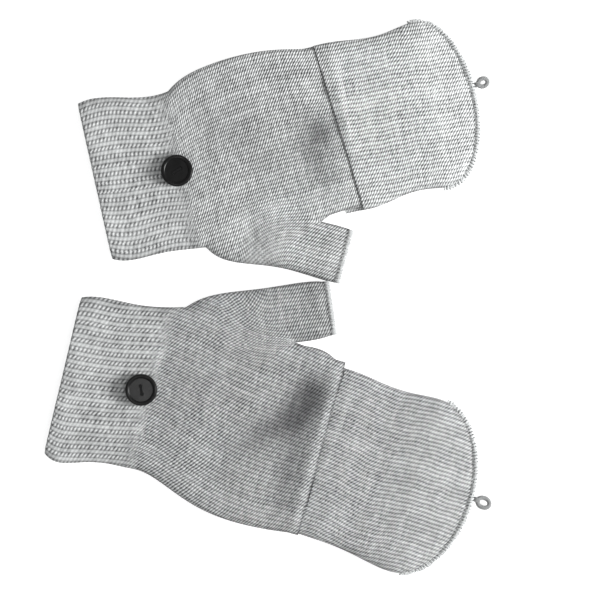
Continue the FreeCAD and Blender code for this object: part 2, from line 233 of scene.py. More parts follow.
def grid_faces(rows, columns, flip=False):
    index = np.arange(rows * columns).reshape(rows, columns)
    quads = np.stack([index[:-1, :-1], index[1:, :-1], index[1:, 1:], index[:-1, 1:]], axis=-1).reshape(-1, 4)
    return quads[:, ::-1] if flip else quads


class Sheets:
    """Collects grids of points into one mesh."""

    def __init__(self):
        self.points = []
        self.faces = []
        self.shades = []
        self.uvs = []
        self.count = 0

    def add(self, points, shade, flip=False, keep=None):
        rows, columns = points.shape[:2]
        flat = points.reshape(-1, 3)
        faces = grid_faces(rows, columns, flip)
        corner = flat[faces]
        diagonal_a = corner[:, 2] - corner[:, 0]
        diagonal_b = corner[:, 3] - corner[:, 1]
        area = np.linalg.norm(np.cross(diagonal_a, diagonal_b), axis=1)
        alive = area > 1e-11
        if keep is not None:
            alive &= keep.ravel()[faces].all(axis=1)
        across, along = np.meshgrid(np.linspace(0, 1, columns), np.linspace(0, 1, rows))
        self.points.append(flat)
        self.faces.append(faces[alive] + self.count)
        self.shades.append(np.broadcast_to(shade, (rows, columns)).ravel())
        self.uvs.append(np.column_stack([across.ravel(), along.ravel()]))
        self.count += len(flat)

    def build(self, name):
        """Each sheet gets its own strip of the bake layout, as wide as its share of points."""
        start = 0.0
        uvs = []
        for uv in self.uvs:
            share = len(uv) / self.count
            uvs.append(np.column_stack([start + uv[:, 0] * share * 0.98, uv[:, 1]]))
            start += share
        return new_object(
            name,
            np.concatenate(self.points),
            np.concatenate(self.faces),
            np.concatenate(self.shades),
            np.concatenate(uvs),
        )


def node_points(hand, node, turn=None, centre=None):
    """A CAD node's edges as pairs of points in the hand frame, or in a turned frame."""
    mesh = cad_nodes[node].data
    points = np.zeros(len(mesh.vertices) * 3)
    mesh.vertices.foreach_get("co", points)
    points = hand.local(points.reshape(-1, 3))
    edges = np.zeros(len(mesh.edges) * 2, np.int32)
    mesh.edges.foreach_get("vertices", edges)
    if turn is not None:
        points = to_thumb(points, turn, centre)
    return points[edges.reshape(-1, 2)]


def to_thumb(points, turn, centre):
    c, s = math.cos(turn), math.sin(turn)
    du = points[..., 0] - centre[0]
    dv = points[..., 1] - centre[1]
    out = points.copy()
    out[..., 0] = du * c + dv * s
    out[..., 1] = dv * c - du * s
    return out


def widths(pairs, stations):
    """Lowest and highest v of a solid at each u."""
    low = []
    high = []
    for u in stations:
        a, b = pairs[:, 0], pairs[:, 1]
        crossing = (a[:, 0] - u) * (b[:, 0] - u) < 0
        a, b = a[crossing], b[crossing]
        share = (u - a[:, 0]) / (b[:, 0] - a[:, 0])
        v = a[:, 1] + (b[:, 1] - a[:, 1]) * share
        low.append(v.min())
        high.append(v.max())
    return np.array(low), np.array(high)


def edge_distance(u, v, lines):
    """Distance from each plan point to the nearest of the side lines."""
    shape = u.shape
    points = np.column_stack([u.ravel(), v.ravel()])
    best = np.full(len(points), 1.0)
    for line in lines:
        for a, b in zip(line[:-1], line[1:]):
            span = b - a
            near = np.abs(points[:, 0] - (a[0] + b[0]) / 2) < EDGE_ROUNDING + abs(span[0]) / 2 + 0.002
            if not near.any():
                continue
            rel = points[near] - a
            along = np.clip(rel @ span / max(span @ span, 1e-12), 0, 1)
            gap = np.linalg.norm(rel - along[:, None] * span, axis=1)
            best[near] = np.minimum(best[near], gap)
    return best.reshape(shape)


def rounding(distance, reach=EDGE_ROUNDING, power=2.3):
    """0 at the side of a flattened tube, rising to 1 over the flat of its back."""
    x = 1.0 - np.clip(distance / reach, 0, 1)
    return (1.0 - x**power) ** (1.0 / power)


# ---- swept yarn ----


def sweep(path, radius, sides=7, closed=False):
    """Vertices and quads of a round yarn along a path; radius may vary along it."""
    path = np.asarray(path)
    count = len(path)
    if closed:
        tangent = np.roll(path, -1, axis=0) - np.roll(path, 1, axis=0)
    else:
        tangent = np.gradient(path, axis=0)
    tangent /= np.linalg.norm(tangent, axis=1)[:, None]
    normal = np.zeros_like(path)
    guide = np.array([0.0, 0.0, 1.0]) if abs(tangent[0, 2]) < 0.9 else np.array([1.0, 0.0, 0.0])
    for i in range(count):
        guide = guide - (guide @ tangent[i]) * tangent[i]
        guide = guide / np.linalg.norm(guide)
        normal[i] = guide
    other = np.cross(tangent, normal)
    angles = np.linspace(0, 2 * math.pi, sides, endpoint=False)
    radius = np.broadcast_to(radius, (count,))
    ring = np.cos(angles)[None, :, None] * normal[:, None] + np.sin(angles)[None, :, None] * other[:, None]
    points = path[:, None] + ring * radius[:, None, None]
    index = np.arange(count * sides).reshape(count, sides)
    if closed:
        index = np.vstack([index, index[:1]])
    wrap = np.roll(index, -1, axis=1)
    faces = np.stack([index[:-1], wrap[:-1], wrap[1:], index[1:]], axis=-1).reshape(-1, 4)
    return points.reshape(-1, 3), faces


def yarns(name, strands, shade=0.8):
    """One object from several (path, radius, closed) strands."""
    points = []
    faces = []
    count = 0
    for path, radius, closed in strands:
        p, f = sweep(path, radius, closed=closed)
        points.append(p)
        faces.append(f + count)
        count += len(p)
    points = np.concatenate(points)
    rng = np.random.default_rng(len(points))
    tone = np.full(len(points), shade) + rng.normal(0, 0.05, len(points))
    uv = np.column_stack([(np.arange(len(points)) % 7) / 7.0, np.arange(len(points)) / len(points)])
    return new_object(name, points, np.concatenate(faces), tone, uv)


def resample(path, step):
    """Even steps along a path; columns past the third are carried along."""
    path = np.asarray(path)
    steps = np.linalg.norm(np.diff(path[:, :3], axis=0), axis=1)
    lengths = np.concatenate([[0], np.cumsum(steps)])
    ticks = np.linspace(0, lengths[-1], max(int(lengths[-1] / step), 2))
    return np.column_stack([np.interp(ticks, lengths, path[:, k]) for k in range(path.shape[1])]), ticks


def overcast(path, out, radius_out, radius_up, pitch, yarn, seed=0):
    """Yarn wound round an edge: path is the edge, out the sideways direction at each point."""
    fine, ticks = resample(np.hstack([path, out]), pitch / 14)
    centre, side = fine[:, :3], fine[:, 3:]
    side /= np.linalg.norm(side, axis=1)[:, None]
    rng = np.random.default_rng(seed)
    wobble = np.interp(ticks, np.linspace(0, ticks[-1], 40), rng.uniform(0.8, 1.25, 40))
    angle = ticks / pitch * 2 * math.pi + 0.6 * np.sin(ticks / pitch * 0.7)
    up = np.array([0.0, 0.0, 1.0])
    ring = side * (np.cos(angle) * radius_out * wobble)[:, None]
    ring += up * (np.sin(angle) * radius_up * wobble)[:, None]
    return centre + ring, yarn, False


# ---- materials ----


def socket_link(tree, a, b):
    tree.links.new(a, b)


def knit_material(name, dark, light):
    """Heathered yarn: the painted shade carried by the shade attribute darkens furrows and lightens crests, and
    fine noise breaks the fibres up.
    """
    mat = bpy.data.materials.new(name)
    mat.use_nodes = True
    tree = mat.node_tree
    nodes = tree.nodes
    principled = nodes["Principled BSDF"]
    shade = nodes.new("ShaderNodeAttribute")
    shade.attribute_name = "shade"
    ramp = nodes.new("ShaderNodeValToRGB")
    ramp.color_ramp.elements[0].color = (dark * 0.97, dark * 0.99, dark * 1.03, 1)
    ramp.color_ramp.elements[0].position = 0.0
    ramp.color_ramp.elements[1].color = (light * 0.98, light, light, 1)
    ramp.color_ramp.elements[1].position = 1.0
    coordinates = nodes.new("ShaderNodeTexCoord")
    fibre = nodes.new("ShaderNodeTexNoise")
    fibre.inputs["Scale"].default_value = 900.0
    fibre.inputs["Detail"].default_value = 4.0
    fibre.inputs["Roughness"].default_value = 0.7
    mottle = nodes.new("ShaderNodeMapRange")
    mottle.inputs["From Min"].default_value = 0.3
    mottle.inputs["From Max"].default_value = 0.7
    mottle.inputs["To Min"].default_value = 0.80
    mottle.inputs["To Max"].default_value = 1.12
    mix = nodes.new("ShaderNodeVectorMath")
    mix.operation = "SCALE"
    relief = nodes.new("ShaderNodeBump")
    relief.inputs["Strength"].default_value = 0.35
    relief.inputs["Distance"].default_value = 0.0003
    socket_link(tree, shade.outputs["Fac"], ramp.inputs["Fac"])
    socket_link(tree, coordinates.outputs["Object"], fibre.inputs["Vector"])
    socket_link(tree, fibre.outputs["Fac"], mottle.inputs["Value"])
    socket_link(tree, ramp.outputs["Color"], mix.inputs[0])
    socket_link(tree, mottle.outputs["Result"], mix.inputs["Scale"])
    socket_link(tree, mix.outputs["Vector"], principled.inputs["Base Color"])
    socket_link(tree, fibre.outputs["Fac"], relief.inputs["Height"])
    socket_link(tree, relief.outputs["Normal"], principled.inputs["Normal"])
    principled.inputs["Roughness"].default_value = 0.9
    principled.inputs["Specular IOR Level"].default_value = 0.15
    principled.inputs["Sheen Weight"].default_value = 0.12
    principled.inputs["Sheen Roughness"].default_value = 0.6
    return mat


def plastic_material(name):
    """Polished black plastic with faint wear in its gloss."""
    mat = bpy.data.materials.new(name)
    mat.use_nodes = True
    tree = mat.node_tree
    nodes = tree.nodes
    principled = nodes["Principled BSDF"]
    coordinates = nodes.new("ShaderNodeTexCoord")
    wear = nodes.new("ShaderNodeTexNoise")
    wear.inputs["Scale"].default_value = 260.0
    wear.inputs["Detail"].default_value = 5.0
    gloss = nodes.new("ShaderNodeMapRange")
    gloss.inputs["To Min"].default_value = 0.16
    gloss.inputs["To Max"].default_value = 0.34
    tint = nodes.new("ShaderNodeValToRGB")
    tint.color_ramp.elements[0].color = (0.004, 0.004, 0.004, 1)
    tint.color_ramp.elements[1].color = (0.010, 0.010, 0.010, 1)
    socket_link(tree, coordinates.outputs["Object"], wear.inputs["Vector"])
    socket_link(tree, wear.outputs["Fac"], gloss.inputs["Value"])
    socket_link(tree, gloss.outputs["Result"], principled.inputs["Roughness"])
    socket_link(tree, wear.outputs["Fac"], tint.inputs["Fac"])
    socket_link(tree, tint.outputs["Color"], principled.inputs["Base Color"])
    principled.inputs["Specular IOR Level"].default_value = 0.15
    return mat


def floor_material():
    """White paper lit from behind, so that it stays white and takes hardly any shadow."""
    mat = bpy.data.materials.new("floor_paper")
    mat.use_nodes = True
    tree = mat.node_tree
    nodes = tree.nodes
    principled = nodes["Principled BSDF"]
    grain = nodes.new("ShaderNodeTexNoise")
    grain.inputs["Scale"].default_value = 300.0
    tint = nodes.new("ShaderNodeValToRGB")
    tint.color_ramp.elements[0].color = (0.50, 0.50, 0.50, 1)
    tint.color_ramp.elements[1].color = (0.55, 0.55, 0.55, 1)
    socket_link(tree, grain.outputs["Fac"], tint.inputs["Fac"])
    socket_link(tree, tint.outputs["Color"], principled.inputs["Base Color"])
    principled.inputs["Roughness"].default_value = 1.0
    principled.inputs["Specular IOR Level"].default_value = 0.0
    principled.inputs["Emission Color"].default_value = (1.0, 1.0, 1.0, 1)
    principled.inputs["Emission Strength"].default_value = 0.78
    return mat


# ---- the tubes ----

HAND_TOP = 9.2 * MM
KNUCKLE_TOP = 7.6 * MM
CUFF_TOP = 9.6 * MM
MOUTH_TOP = 10.5 * MM
CAP_TOP = 8.9 * MM
MIDDLE = 0.42  # where a side lies between underside and back


class Outline:
    """Side lines of cuff, hand and thumb, and of the cap, sliced from the CAD solids."""

    def __init__(self, hand):
        name = hand.name + "_"
        self.hand = hand
        root = hand.thumb_root
        cuff = node_points(hand, name + "cuff")
        palm = node_points(hand, name + "hand")
        cap = node_points(hand, name + "cap")
        self.mouth = cuff[..., 0].min()
        self.waist = cuff[..., 0].max()
        u_cuff = np.linspace(self.mouth + 0.05 * MM, self.waist - 0.1 * MM, 30)
        cuff_low, cuff_high = widths(cuff, u_cuff)
        u_palm = np.linspace(self.waist + 0.3 * MM, -5 * MM, 60)
        palm_low, palm_high = widths(palm, u_palm)
        self.turn, self.thumb_edges = self.thumb_lines(name, root)
        outer, inner = self.thumb_edges
        before = u_palm < outer[0, 0] - 5 * MM
        after = u_palm > inner[0, 0] + 4 * MM
        knuckle = np.array([[6 * MM, palm_low[-1]]])
        self.knuckle_side = np.concatenate([np.column_stack([u_palm, palm_low])[after], knuckle])
        side = [np.column_stack([u_cuff, cuff_low]), np.column_stack([u_palm, palm_low])[before], outer]
        self.thumb_side = np.concatenate(side)
        self.finger_side = np.concatenate([inner[::-1], self.knuckle_side])
        self.little_side = np.concatenate(
            [np.column_stack([u_cuff, cuff_high]), np.column_stack([u_palm, palm_high]), [[6 * MM, palm_high[-1]]]]
        )
        self.lines = [self.thumb_side, self.finger_side, self.little_side]
        self.crotch = inner[0]
        self.tip = cap[..., 0].max()
        u_cap = np.linspace(1 * MM, self.tip - 0.02 * MM, 90)
        cap_low, cap_high = widths(cap, u_cap)
        end = np.array([[self.tip, (cap_low[-1] + cap_high[-1]) / 2]])
        start_low = np.array([[-14 * MM, cap_low[0]]])
        start_high = np.array([[-14 * MM, cap_high[0]]])
        self.cap_low = np.concatenate([start_low, np.column_stack([u_cap, cap_low]), end])
        self.cap_high = np.concatenate([start_high, np.column_stack([u_cap, cap_high]), end])
        self.cap_lines = [self.cap_low, self.cap_high]

    def thumb_lines(self, name, root):
        """Thumb direction and its two side lines from the root to the tip."""
        pairs = node_points(self.hand, name + "thumb_edge")
        middle = pairs.reshape(-1, 3).mean(0)
        turn = math.atan2(middle[1] - root[1], middle[0] - root[0])
        thumb = node_points(self.hand, name + "thumb", turn, root)
        edge = node_points(self.hand, name + "thumb_edge", turn, root)
        self.thumb_length = edge[..., 0].max()
        stations = np.linspace(0.2 * MM, thumb[..., 0].max() - 0.6 * MM, 14)
        low, high = widths(thumb, stations)
        stations = np.append(stations, self.thumb_length)
        low = np.append(low, low[-1])
        high = np.append(high, high[-1])
        c, s = math.cos(turn), math.sin(turn)

        def back(w):
            return np.column_stack([root[0] + stations * c - w * s, root[1] + stations * s + w * c])

        return turn, (back(low), back(high))

    def low(self, u):
        """Thumb-side limit of the hand piece; past the thumb root it follows the root line."""
        outer, inner = self.thumb_edges
        before = self.thumb_side[self.thumb_side[:, 0] < outer[0, 0] - 1e-5]
        line = np.concatenate([before, outer[:1], inner[:1], self.knuckle_side])
        return np.interp(u, line[:, 0], line[:, 1])

    def high(self, u):
        return np.interp(u, self.little_side[:, 0], self.little_side[:, 1])


def back_height(outline, u, v):
    """Top of the hand, cuff and thumb over the plan, before stitches."""
    hand = outline.hand
    stations = [outline.mouth, outline.waist, -0.045, -0.012, -0.004, 0.004]
    heights = [MOUTH_TOP, CUFF_TOP, HAND_TOP, HAND_TOP - 0.6 * MM, KNUCKLE_TOP, KNUCKLE_TOP - hand.seam_drop]
    past_seam = u - hand.seam_u(v)
    height = np.interp(past_seam, stations, heights)
    for fold in hand.folds:
        height = height + bump(u, v, fold)
    height = height + ripple(u, v, 3 if hand.side > 0 else 4)
    return height


def over_plan(outline, u, v, lines, top, floor=LIFT):
    """Heights of the back and the underside at plan points, closed along the side lines."""
    closeness = rounding(edge_distance(u, v, lines))
    middle = floor + (top - floor) * MIDDLE
    back = middle + (top - middle) * closeness
    under = middle - (middle - floor) * rounding(edge_distance(u, v, lines), 4 * MM)
    return back, under


def hand_pattern(outline, u, v):
    """Wale and course of the hand's knit, turning into the thumb's."""
    hand = outline.hand
    low_start = outline.low(outline.waist)
    low_end = outline.low(-0.005)
    low = np.interp(u, [outline.waist, -0.005], [low_start, low_end])
    high = outline.high(u)
    middle = (low + high) / 2
    half = (high - low) / 2
    p = (v - middle) / half * 0.0415 - math.tan(math.radians(3.5)) * (u + 0.038)
    crotch_u, crotch_v = outline.crotch
    turn = outline.turn
    du, dv = u - crotch_u, v - crotch_v
    along = du * math.cos(turn) + dv * math.sin(turn)
    across = dv * math.cos(turn) - du * math.sin(turn)
    ahead = du * math.cos(turn / 2) + dv * math.sin(turn / 2)
    beside = dv * math.cos(turn / 2) - du * math.sin(turn / 2)
    width = np.clip(-0.8 * ahead, 0.5 * MM, 16 * MM)
    share = smooth(0.5 - beside / (2 * width)) * smooth((ahead + 0.040) / 0.028)
    p = p * (1 - share) + (across + crotch_v) * share
    q = u * (1 - share) + (along + crotch_u) * share
    return p * hand.side / WALE, q / COURSE


def knit_sheet(outline, u, v, base, pattern, depth, up=1.0, seed=1, gain=1.0, dash=DASH):
    """Points and shade of one side of a knitted tube."""
    p, q = uneven(*pattern(outline, u, v), seed)
    z = base - up * depth * (1 - jersey(p, q))
    shade = (jersey_painted_shade(p, q, dash) + stitch_tone(p, q, seed)) * gain
    return outline.hand.row(u, v, z), shade


def make_hand(outline):
    hand = outline.hand
    sheets = Sheets()
    for coarse, side in ((1, "back"), (COARSE, "under")):
        rows = np.arange(outline.waist - 0.6 * MM, 3 * MM, STEP_ALONG * coarse)
        low_all = outline.low(rows)
        high_all = outline.high(rows)
        columns = np.arange(low_all.min(), high_all.max() + STEP_ACROSS * coarse, STEP_ACROSS * coarse)
        u, v = np.meshgrid(rows, columns, indexing="ij")
        v = np.clip(v, low_all[:, None], high_all[:, None])
        u = np.minimum(u, hand.seam_u(v) - 0.1 * MM)
        back, under = over_plan(outline, u, v, outline.lines, back_height(outline, u, v), palm_floor(hand, u, v))
        if side == "back":
            gain = hand.gain * hollow_gain(hand, u, v) * side_gain(u, v, outline.lines)
            # painted shadow: the last 1.3 mm of the hand before the knuckle seam is darkened, as the shadow of the
            # cap's raised edge
            gain = gain * (1 - 0.7 * smooth(1 + (u - hand.seam_u(v)) / (1.3 * MM)))
            points, shade = knit_sheet(outline, u, v, back, hand_pattern, STITCH_DEPTH, seed=1, gain=gain)
            sheets.add(points, shade, flip=hand.side < 0)
        else:
            points, shade = knit_sheet(outline, u, v, under, hand_pattern, STITCH_DEPTH * 0.5, -1, seed=2)
            sheets.add(points, shade, flip=hand.side > 0)
    return sheets.build(hand.name + "_hand_knit")


def hollow_gain(hand, u, v):
    """Hollows between folds catch less light; the darkening follows the depth of each."""
    total = sum(np.minimum(bump(u, v, fold), 0.0) for fold in hand.folds)
    return np.clip(1.0 + total / (3.6 * MM), 0.3, 1.0)


def side_gain(u, v, lines):
    """Fabric turning under along the sides of a tube catches less light."""
    return 1.0 - SIDE_SHADE * np.exp(-((edge_distance(u, v, lines) / (1.2 * MM)) ** 2))


def palm_floor(hand, u, v):
    """The palm rises towards the knuckles, over the cap's palm panel."""
    return LIFT + 1.9 * MM * smooth((u - hand.seam_u(v) + 0.03) / 0.018)


def make_thumb(outline):
    hand = outline.hand
    root = hand.thumb_root
    c, s = math.cos(outline.turn), math.sin(outline.turn)
    outer, inner = outline.thumb_edges
    local = to_thumb(np.stack([outer, inner]), outline.turn, root)
    stations = local[0, :, 0]
    sheets = Sheets()
    for coarse, side in ((1, "back"), (1, "under"), (2, "inner_back"), (2, "inner_under")):
        end = outline.thumb_length - 0.9 * MM
        begin = -0.5 * MM if "inner" not in side else end - 9 * MM
        rows = np.arange(begin, end, STEP_ALONG * coarse)
        inset = WALL if "inner" in side else 0.0
        low = np.interp(rows, stations, local[0, :, 1]) + inset
        high = np.interp(rows, stations, local[1, :, 1]) - inset
        columns = np.arange(low.min(), high.max() + STEP_ACROSS * coarse, STEP_ACROSS * coarse)
        a, w = np.meshgrid(rows, columns, indexing="ij")
        w = np.clip(w, low[:, None], high[:, None])
        u = root[0] + a * c - w * s
        v = root[1] + a * s + w * c
        back, under = over_plan(outline, u, v, outline.lines, back_height(outline, u, v), palm_floor(hand, u, v))
        sink = 0.12 * MM * (a < 0)
        droop = smooth((a - end + 6 * MM) / (6 * MM)) * 1.0 * MM
        back = back - sink - droop
        mouth = (back + under) / 2
        if side == "back":
            # painted shade: the thumb darkens by up to 0.12 towards its end, and a painted shadow of the raised
            # rim falls in a band just inside the end
            gain = hand.gain * (1 - 0.12 * smooth(a / (12 * MM)))
            gain = gain * (1 - 0.55 * smooth(1 + (a - end) / (1.8 * MM))) * side_gain(u, v, outline.lines)
            points, shade = knit_sheet(outline, u, v, back, hand_pattern, STITCH_DEPTH, seed=1, gain=gain)
            sheets.add(points, shade, flip=hand.side < 0)
        elif side == "under":
            points, shade = knit_sheet(outline, u, v, under, hand_pattern, STITCH_DEPTH * 0.6, -1, seed=2)
            sheets.add(points, shade, flip=hand.side > 0)
        # The inner walls take a flat 0.2: painted shade inside the thumb.
        elif side == "inner_back":
            sheets.add(hand.row(u, v, np.maximum(back - WALL, mouth + 0.1 * MM)), 0.2)
        else:
            sheets.add(hand.row(u, v, np.minimum(under + WALL, mouth - 0.1 * MM)), 0.2)
    return sheets.build(hand.name + "_thumb_knit")


def rib_pattern(outline, u, v):
    low = np.interp(u, outline.thumb_side[:, 0], outline.thumb_side[:, 1])
    high = outline.high(u)
    share = (v - low) / (high - low)
    count = round(0.077 / RIB)
    return share * count * outline.hand.side, (u - outline.mouth) / RIB_COURSE


def make_cuff(outline):
    hand = outline.hand
    sheets = Sheets()
    fade = 9 * MM
    for coarse, side in ((1, "back"), (COARSE, "under"), (1, "inner_back"), (1, "inner_under")):
        inner = "inner" in side
        begin = outline.mouth
        end = outline.mouth + 22 * MM if inner else outline.waist + 0.5 * MM
        step = 0.3 * MM * coarse
        rows = np.arange(begin, end + step, step)
        inset = 1.9 * MM if inner else 0.0
        low = np.interp(rows, outline.thumb_side[:, 0], outline.thumb_side[:, 1]) + inset
        high = outline.high(rows) - inset
        across_step = 0.26 * MM * (2 if inner else coarse)
        columns = np.arange(low.min(), high.max() + across_step, across_step)
        u, v = np.meshgrid(rows, columns, indexing="ij")
        v = np.clip(v, low[:, None], high[:, None])
        back, under = over_plan(outline, u, v, outline.lines, back_height(outline, u, v))
        roll = 1 - rounding(u - outline.mouth, 1.6 * MM, 2.0)
        laid_u = u + hand.mouth_lean * (v + MOUTH_PIVOT) * smooth(1 - (u - outline.mouth) / MOUTH_REACH)
        thick = 1.9 * MM
        if side == "back":
            p, q = uneven(*rib_pattern(outline, u, v), 5)
            plain_p, plain_q = uneven(*hand_pattern(outline, u, v), 1)
            toward_hand = smooth((u - outline.waist + fade) / fade) * 0.7
            height = rib(p, q) * (1 - toward_hand) + jersey(plain_p, plain_q) * toward_hand
            depth = RIB_DEPTH * (1 - toward_hand) + STITCH_DEPTH * toward_hand
            z = back - depth * (1 - height) - roll * thick / 2
            shade = rib_painted_shade(p, q) * (1 - toward_hand) + jersey_painted_shade(plain_p, plain_q) * toward_hand
            # painted shade: the rolled edge of the mouth is darkened by up to half
            shade = (shade + stitch_tone(p, q, 5)) * (1 - 0.5 * roll) * CUFF_GAIN
            shade = shade * side_gain(u, v, outline.lines)
            sheets.add(hand.row(laid_u, v, z), shade, flip=hand.side < 0)
        elif side == "under":
            p, q = rib_pattern(outline, u, v)
            z = under + RIB_DEPTH * 0.5 * (1 - rib(p, q)) + roll * thick / 2
            sheets.add(hand.row(laid_u, v, z), rib_painted_shade(p, q), flip=hand.side > 0)
        # The inner walls take 0.8 of the rib's shade: painted shade inside the cuff.
        elif side == "inner_back":
            p, q = rib_pattern(outline, u, v)
            z = np.maximum(back - thick + roll * thick / 2, (back + under) / 2 + 0.2 * MM)
            z = z + 0.4 * MM * (1 - rib(p + 0.5, q))
            sheets.add(hand.row(laid_u, v, z), 0.8 * rib_painted_shade(p + 0.5, q), flip=hand.side > 0)
        else:
            p, q = rib_pattern(outline, u, v)
            z = np.minimum(under + thick - roll * thick / 2, (back + under) / 2 - 0.2 * MM)
            z = z - 0.4 * MM * (1 - rib(p + 0.5, q))
            sheets.add(hand.row(laid_u, v, z), 0.8 * rib_painted_shade(p + 0.5, q), flip=hand.side < 0)
    return sheets.build(hand.name + "_cuff_rib")


def cap_pattern(outline, u, v):
    hand = outline.hand
    lean = math.radians(-2.5 if hand.side > 0 else 3.5)
    low = np.interp(u, outline.cap_low[:, 0], outline.cap_low[:, 1])
    high = np.interp(u, outline.cap_high[:, 0], outline.cap_high[:, 1])
    soft_mid = (low + high) / 2 * smooth((0.05 - u) / 0.03)
    p = v - soft_mid - math.tan(lean) * u
    return p * hand.side / WALE, (u + math.tan(lean) * v) / COURSE


def cap_height(outline, u, v):
    hand = outline.hand
    past_seam = u - hand.seam_u(v)
    top = np.interp(past_seam, [-0.004, 0.0, 0.004, 0.02, 0.045], [7.2 * MM, 8.0 * MM, 8.9 * MM, CAP_TOP, CAP_TOP])
    for fold in hand.cap_folds:
        top = top + bump(u, v, fold)
    top = top + ripple(u, v, 7 if hand.side > 0 else 8)
    near_tip = smooth((u - outline.tip + 0.03) / 0.03)
    return top * (1 - near_tip) + 4.6 * MM * near_tip


def make_cap(outline):
    hand = outline.hand
    sheets = Sheets()
    lap = 9 * MM
    for side in ("back", "under", "inner_back", "inner_under"):
        inner = "inner" in side
        coarse = 1.05 if not inner else 2.5
        start = -lap if side in ("under", "inner_under") else -0.4 * MM
        stop = outline.tip if not inner else outline.tip * 0.75
        rows = np.append(np.arange(start - 4 * MM, stop, STEP_ALONG * coarse), stop)
        inset = WALL if inner else 0.0
        low = np.interp(rows, outline.cap_low[:, 0], outline.cap_low[:, 1]) + inset
        high = np.interp(rows, outline.cap_high[:, 0], outline.cap_high[:, 1]) - inset
        columns = np.arange(low.min(), high.max() + STEP_ACROSS * coarse, STEP_ACROSS * coarse)
        u, v = np.meshgrid(rows, columns, indexing="ij")
        v = np.clip(v, low[:, None], high[:, None])
        u = np.maximum(u, hand.seam_u(v) + start)
        top = cap_height(outline, u, v)
        back, under = over_plan(outline, u, v, outline.cap_lines, top)
        before = smooth((hand.seam_u(v) - u) / (1.5 * MM))
        under = under * (1 - before) + np.minimum(under, LIFT + 0.3 * MM) * before
        if side == "back":
            # painted shadow: the cap's first 0.8 mm at the knuckle seam is darkened by up to half
            gain = hand.cap_painted_light * (1 - 0.5 * smooth(1 - (u - hand.seam_u(v) - start) / (0.8 * MM)))
            gain = gain * side_gain(u, v, outline.cap_lines)
            points, shade = knit_sheet(outline, u, v, back, cap_pattern, STITCH_DEPTH, 1.0, 3, gain, CAP_DASH)
            sheets.add(points, shade, flip=hand.side < 0)
        elif side == "under":
            points, shade = knit_sheet(outline, u, v, under, cap_pattern, STITCH_DEPTH * 0.7, -1, seed=4)
            sheets.add(points, shade, flip=hand.side > 0)
        # The inner walls take 0.3 to 0.5 by the stitch height: painted shade inside the cap.
        elif side == "inner_back":
            z = np.maximum(back - WALL, LIFT + 2.2 * MM)
            p, q = cap_pattern(outline, u, v)
            sheets.add(hand.row(u, v, z), 0.3 + 0.2 * jersey(p, q), flip=hand.side > 0)
        else:
            z = np.minimum(under + WALL, LIFT + 1.5 * MM)
            p, q = cap_pattern(outline, u, v)
            sheets.add(hand.row(u, v, z), 0.3 + 0.2 * jersey(p, q), flip=hand.side < 0)
    return sheets.build(hand.name + "_cap_knit")


def make_cap_tip_seam(outline):
    hand = outline.hand
    low = outline.cap_low[outline.cap_low[:, 0] > outline.tip - 0.024]
    high = outline.cap_high[outline.cap_high[:, 0] > outline.tip - 0.024]
    line = np.concatenate([low, high[::-1][1:]])
    line, _ = resample(line, 0.5 * MM)
    tangent = np.gradient(line, axis=0)
    out = np.column_stack([tangent[:, 1], -tangent[:, 0]])
    out /= np.linalg.norm(out, axis=1)[:, None]
    centre = line + out * 0.1 * MM
    path = hand.row(centre[:, 0], centre[:, 1], np.full(len(line), 3.0 * MM))
    tip = hand.row(centre[:, 0] + out[:, 0], centre[:, 1] + out[:, 1], np.full(len(line), 3.0 * MM))
    sideways = tip - path
    strands = [
        overcast(path, sideways, 1.2 * MM, 1.4 * MM, 1.45 * MM, 0.36 * MM, 1),
        overcast(path, sideways, 0.9 * MM, 1.3 * MM, 1.9 * MM, 0.32 * MM, 2),
        (path, 0.4 * MM, False),
    ]
    return yarns(hand.name + "_cap_tip_seam_yarn", strands, 0.85)


def make_knuckle_seam(outline):
    hand = outline.hand
    v = np.linspace(outline.cap_low[1, 1] + 1.2 * MM, outline.cap_high[1, 1] - 1.2 * MM, 160)
    u = hand.seam_u(v) + 0.2 * MM
    back, _ = over_plan(outline, u, v, outline.lines, back_height(outline, u, v))
    path = hand.row(u, v, back - 0.5 * MM)
    along = hand.row(u + 0.001, v, back - 0.5 * MM) - path
    strands = [
        overcast(path, along, 0.8 * MM, 0.45 * MM, 2.4 * MM, 0.28 * MM, 3),
        (path - np.array([0, 0, 0.1 * MM]), 0.6 * MM, False),
    ]
    # painted shadow: the seam yarn is near black, as a dark line along the cap's raised edge
    return yarns(hand.name + "_knuckle_seam_yarn", strands, 0.04)


def ring_path(hand, origin, turn, station, low, high, floor, top, count=120):
    """Closed flattened loop across a tube, in row points."""
    angle = np.linspace(0, 2 * math.pi, count, endpoint=False)
    across = np.sign(np.cos(angle)) * np.abs(np.cos(angle)) ** 0.6
    up = np.sign(np.sin(angle)) * np.abs(np.sin(angle)) ** 0.75
    w = (low + high) / 2 + (high - low) / 2 * across
    z = (floor + top) / 2 + (top - floor) / 2 * up
    c, s = math.cos(turn), math.sin(turn)
    u = origin[0] + station * c - w * s
    v = origin[1] + station * s + w * c
    return hand.row(u, v, z)


def make_ring_edge(hand, name, origin, turn, station, low, high, floor, top, seed):
    """Overlocked end of a tube: yarn wound along the rim and a core inside it."""
    rim = ring_path(hand, origin, turn, station, low, high, floor, top)
    rim = np.vstack([rim, rim[:1]])
    along = hand.u * math.cos(turn) + hand.v * math.sin(turn)
    sideways = np.broadcast_to(np.append(along, 0.0), rim.shape)
    strands = [
        overcast(rim, sideways, 1.05 * MM, 0.55 * MM, 1.5 * MM, 0.4 * MM, seed),
        overcast(rim, sideways, 0.9 * MM, 0.5 * MM, 2.1 * MM, 0.36 * MM, seed + 1),
        (rim[:-1], 0.5 * MM, True),
    ]
    return yarns(name, strands, 0.72)


